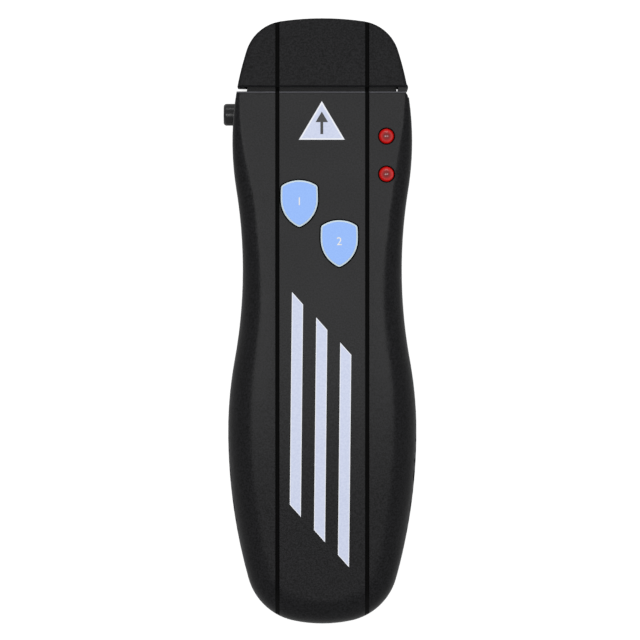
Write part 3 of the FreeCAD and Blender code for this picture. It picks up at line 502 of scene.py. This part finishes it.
def lay_print(piece, name, thickness=0.03 * mm):
    """Drops a flat piece on to the front shell, gives it the thickness of ink and fixes it there."""
    piece.name = name
    piece.data.name = name
    drop = piece.modifiers.new("drop", "SHRINKWRAP")
    drop.wrap_method = "PROJECT"
    drop.use_project_z = True
    drop.use_negative_direction = True
    drop.use_positive_direction = False
    drop.target = front
    drop.offset = 0.012 * mm
    bpy.ops.object.modifier_apply(modifier="drop")
    film = piece.modifiers.new("film", "SOLIDIFY")
    film.thickness = thickness
    film.offset = 1
    bpy.ops.object.modifier_apply(modifier="film")
    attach(piece, "housing")
    return piece


def rim_and_field(piece, rim):
    """Insets the flat face by the rim's width: the field keeps the first ink, the rim takes the second."""
    bpy.ops.object.mode_set(mode="EDIT")
    bpy.ops.mesh.select_all(action="SELECT")
    bpy.ops.mesh.inset(thickness=rim)
    bpy.ops.object.mode_set(mode="OBJECT")
    for face in piece.data.polygons:
        face.material_index = 0 if face.select else 1


front_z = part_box("front_cover")[1].z + 2 * mm
pale_blue = ink("print_blue", shade(201, 209, 234), shade(212, 219, 241))
print_white = ink("print_white", shade(236, 239, 248), shade(244, 246, 252))

stripe_width = 2.25 * mm
stripe_slant = 2.5 * mm
stripe_length = 42.6 * mm
stripe_lean = 0.0105
stripe_rim = 0.16 * mm
stripe_corners = ((-6.07, 5.9), (-1.22, 0.8), (3.58, -4.2))
for number, (left, high) in enumerate(stripe_corners, 1):
    start_clean()
    middle = (left * mm + stripe_width / 2, high * mm - stripe_length / 2, front_z)
    bpy.ops.mesh.primitive_plane_add(size=1, location=(0, 0, 0))
    stripe = bpy.context.object
    for corner in stripe.data.vertices:
        corner.co.x = middle[0] + corner.co.x * stripe_width
        lower = stripe_slant if corner.co.x > middle[0] else 0
        corner.co.y = middle[1] + corner.co.y * stripe_length - lower
        corner.co.x += stripe_lean * (corner.co.y - high * mm)
        corner.co.z = front_z
    rim_and_field(stripe, stripe_rim)
    bpy.ops.object.mode_set(mode="EDIT")
    bpy.ops.mesh.select_all(action="SELECT")
    bpy.ops.mesh.subdivide(number_cuts=23)
    bpy.ops.object.mode_set(mode="OBJECT")
    stripe.data.materials.append(pale_blue.material)
    stripe.data.materials.append(print_white.material)
    lay_print(stripe, f"print_stripe_{number}")

start_clean()
pointer_centre = (-0.1 * mm, 38.95 * mm)
pointer_radius = 5.15 * mm
pointer_widening = 1.03
pointer_rim = 0.3 * mm
bpy.ops.mesh.primitive_circle_add(vertices=3, radius=pointer_radius, fill_type="NGON", location=(0, 0, 0))
pointer = bpy.context.object
turn = math.atan2(pointer.data.vertices[0].co.y, pointer.data.vertices[0].co.x)
for corner in pointer.data.vertices:
    angle = math.atan2(corner.co.y, corner.co.x) - turn + math.pi / 2
    corner.co = (
        pointer_centre[0] + pointer_radius * math.cos(angle) * pointer_widening,
        pointer_centre[1] + pointer_radius * math.sin(angle),
        front_z,
    )
rim_and_field(pointer, pointer_rim)
pointer.data.materials.append(pale_blue.material)
pointer.data.materials.append(print_white.material)
lay_print(pointer, "print_pointer")


def flat_mark(corners):
    """A flat face in dark ink, from its corners in millimetres."""
    start_clean()
    bpy.ops.mesh.primitive_circle_add(vertices=len(corners), radius=mm, fill_type="NGON", location=(0, 0, 0))
    mark = bpy.context.object
    for corner, (x, y) in zip(mark.data.vertices, corners):
        corner.co = (x * mm, y * mm, front_z)
    mark.data.materials.append(print_dark.material)
    return mark


print_dark = ink("print_dark", shade(34, 34, 37), shade(46, 46, 50))
arrow = [
    (-0.1, 42.0), (-1.35, 39.9), (-0.38, 39.9), (-0.38, 37.5),
    (0.18, 37.5), (0.18, 39.9), (1.15, 39.9),
]
lay_print(flat_mark(arrow), "print_arrow", 0.05 * mm)


# ---- Keys --------------------------------------------------------------------------------------------
# Two shield-shaped keys moulded in sky-blue plastic, each with a softened edge and a plain numeral. One
# lights the torch, the other the laser. They stand in the front shell's openings over their switches.

def key_plastic():
    """Satin blue plastic, with a paler painted highlight along the softened edge and painted shade, near
    black, on the sides down in the opening.
    """
    finish = Finish("key_blue", Specular_IOR_Level=0.3)
    grain = finish.noise(3800, 2.0)
    face_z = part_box("lamp_key")[1].z
    below = finish.along(2, face_z).size()
    face = finish.blend(grain.within(0.3, 0.7), shade(144, 184, 252), shade(150, 190, 255))
    # Painted highlight: paler blue along the softened edge, just below the face.
    face = finish.blend(below.within(0.02 * mm, 0.06 * mm), face, shade(226, 244, 255))
    # Painted shade: below the face the sides turn near black, standing for the dark gap in the opening.
    painted_gap_shade = below.within(0.42 * mm, 0.5 * mm)
    finish.set("Base Color", finish.blend(painted_gap_shade, face, shade(10, 11, 14)))
    finish.set("Roughness", 0.42 + (grain - 0.5) * 0.1 + painted_gap_shade * 0.4)
    finish.bump(grain, 0.00001, 0.4)
    return finish


wear(key_plastic(), "lamp_key", "laser_key")
numeral_ink = ink("numeral_ink", shade(232, 228, 216), shade(246, 243, 234))
numeral_rise = 0.35 * mm
numeral_sunk = 0.02 * mm

for numeral, key, body in (("1", "lamp_key", "lamp_press"), ("2", "laser_key", "laser_press")):
    start_clean()
    low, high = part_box(key)
    middle = ((low.x + high.x) / 2, (low.y + high.y) / 2 + numeral_rise, high.z - numeral_sunk)
    bpy.ops.object.text_add(location=middle)
    figure = bpy.context.object
    figure.name = "key_numeral_" + numeral
    figure.data.body = numeral
    figure.data.align_x = "CENTER"
    figure.data.align_y = "CENTER"
    figure.data.size = 2.3 * mm
    figure.data.extrude = 0.04 * mm
    figure.data.resolution_u = 6
    bpy.ops.object.convert(target="MESH")
    bpy.ops.object.transform_apply(location=True, rotation=True, scale=True)
    figure.data.materials.clear()
    figure.data.materials.append(numeral_ink.material)
    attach(figure, body)


# ---- Release button ----------------------------------------------------------------------------------
# A black glossy plunger in the left wall. Pressed in, its bar lets go of the cap's catch. The small coil
# spring that returns it is a copy of the CAD one, fixed to the housing.

button_black = moulded("button_black", shade(18, 18, 19), shade(26, 26, 28), 0.26, 5200, 0.00001)
wear(button_black, "release_button")
spring_steel = drawn_metal("spring_steel", shade(176, 176, 174), 0.3)
wear(spring_steel, "release_spring")
coil = own_copy("release_spring", "release_coil")
coil.data.shade_smooth()
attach(coil, "housing")
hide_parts("release_spring")
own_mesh(coil)


# ---- Flip cap ----------------------------------------------------------------------------------------
# The cap is one hollow moulding in the case's black plastic. It swings on a steel pin on the right, with
# a torsion spring round the pin, and a soft rubber pad inside it shuts the port against dust.

wear(case_face, "flip_cap")
wear(spring_steel, "cap_hinge_pin", "cap_torsion_spring")
seal_rubber = moulded("seal_rubber", shade(26, 26, 27), shade(36, 36, 37), 0.7, 2500, 0.00002)
wear(seal_rubber, "cap_seal")


# ---- Case screws -------------------------------------------------------------------------------------
# Four self-tapping steel screws with straight slots, sunk in the back shell.

wear(screw_steel, "case_screws")


# ---- Studio ------------------------------------------------------------------------------------------
# Not part of the object: a plain white table, four soft lamps, and a camera that looks straight down.

def studio_white(name, lit, shown):
    """White paper that shows at full white to the camera and keeps a soft shadow."""
    finish = Finish(name, Roughness=0.9, Specular_IOR_Level=0.0, Emission_Strength=shown)
    fibre = finish.noise(400)
    finish.set("Base Color", finish.blend(fibre, (lit, lit, lit, 1), (lit * 0.97, lit * 0.97, lit * 0.97, 1)))
    seen = finish.node("ShaderNodeLightPath", output="Is Camera Ray")
    finish.set("Emission Color", finish.blend(seen, (0, 0, 0, 1), (1, 1, 1, 1)))
    return finish


low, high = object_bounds()
start_clean()
bpy.ops.mesh.primitive_plane_add(size=6, location=(0, 0, low.z - 0.0001))
table = bpy.context.object
table.name = "table"
table.data.materials.append(studio_white("table_paper", 0.6, 0.75).material)

world = bpy.data.worlds.new("studio")
world.use_nodes = True
sky = world.node_tree.nodes
links = world.node_tree.links
path = sky.new("ShaderNodeLightPath")
level = sky.new("ShaderNodeMapRange")
level.inputs["To Min"].default_value = 0.48
level.inputs["To Max"].default_value = 1.0
links.new(path.outputs["Is Camera Ray"], level.inputs["Value"])
links.new(level.outputs[0], sky["Background"].inputs["Strength"])
sky["Background"].inputs["Color"].default_value = (1, 1, 1, 1)
bpy.context.scene.world = world


def soft_lamp(name, place, aim, width, depth, watts):
    """A rectangular soft lamp at a place, turned to face a point."""
    light = bpy.data.lights.new(name, "AREA")
    light.shape = "RECTANGLE"
    light.size = width
    light.size_y = depth
    light.energy = watts
    lamp = bpy.data.objects.new(name, light)
    lamp.location = place
    lamp.rotation_euler = (Vector(aim) - Vector(place)).to_track_quat("-Z", "Y").to_euler()
    lamp.visible_camera = False
    bpy.context.scene.collection.objects.link(lamp)


soft_lamp("overhead_left", (-0.29, 0.02, 0.96), (0, 0, 0), 0.26, 0.25, 1.6)
soft_lamp("overhead_right", (0.29, 0.02, 0.96), (0, 0, 0), 0.26, 0.25, 1.5)
soft_lamp("overhead", (0, 0.02, 1.0), (0, 0, 0), 0.28, 0.25, 1.2)
soft_lamp("beyond_the_cap", (0, 0.95, 0.42), (0, 0, 0), 0.8, 0.2, 1.2)

view_width = 0.128
camera_height = 2.0
camera = bpy.data.objects.new("camera", bpy.data.cameras.new("camera"))
camera.data.sensor_width = 36
camera.data.lens = camera.data.sensor_width * camera_height / view_width
camera.data.clip_end = 20
camera.location = (-0.46 * mm, 0.28 * mm, front_z + camera_height)
bpy.context.scene.collection.objects.link(camera)
bpy.context.scene.camera = camera
bpy.context.scene.view_settings.view_transform = "Standard"
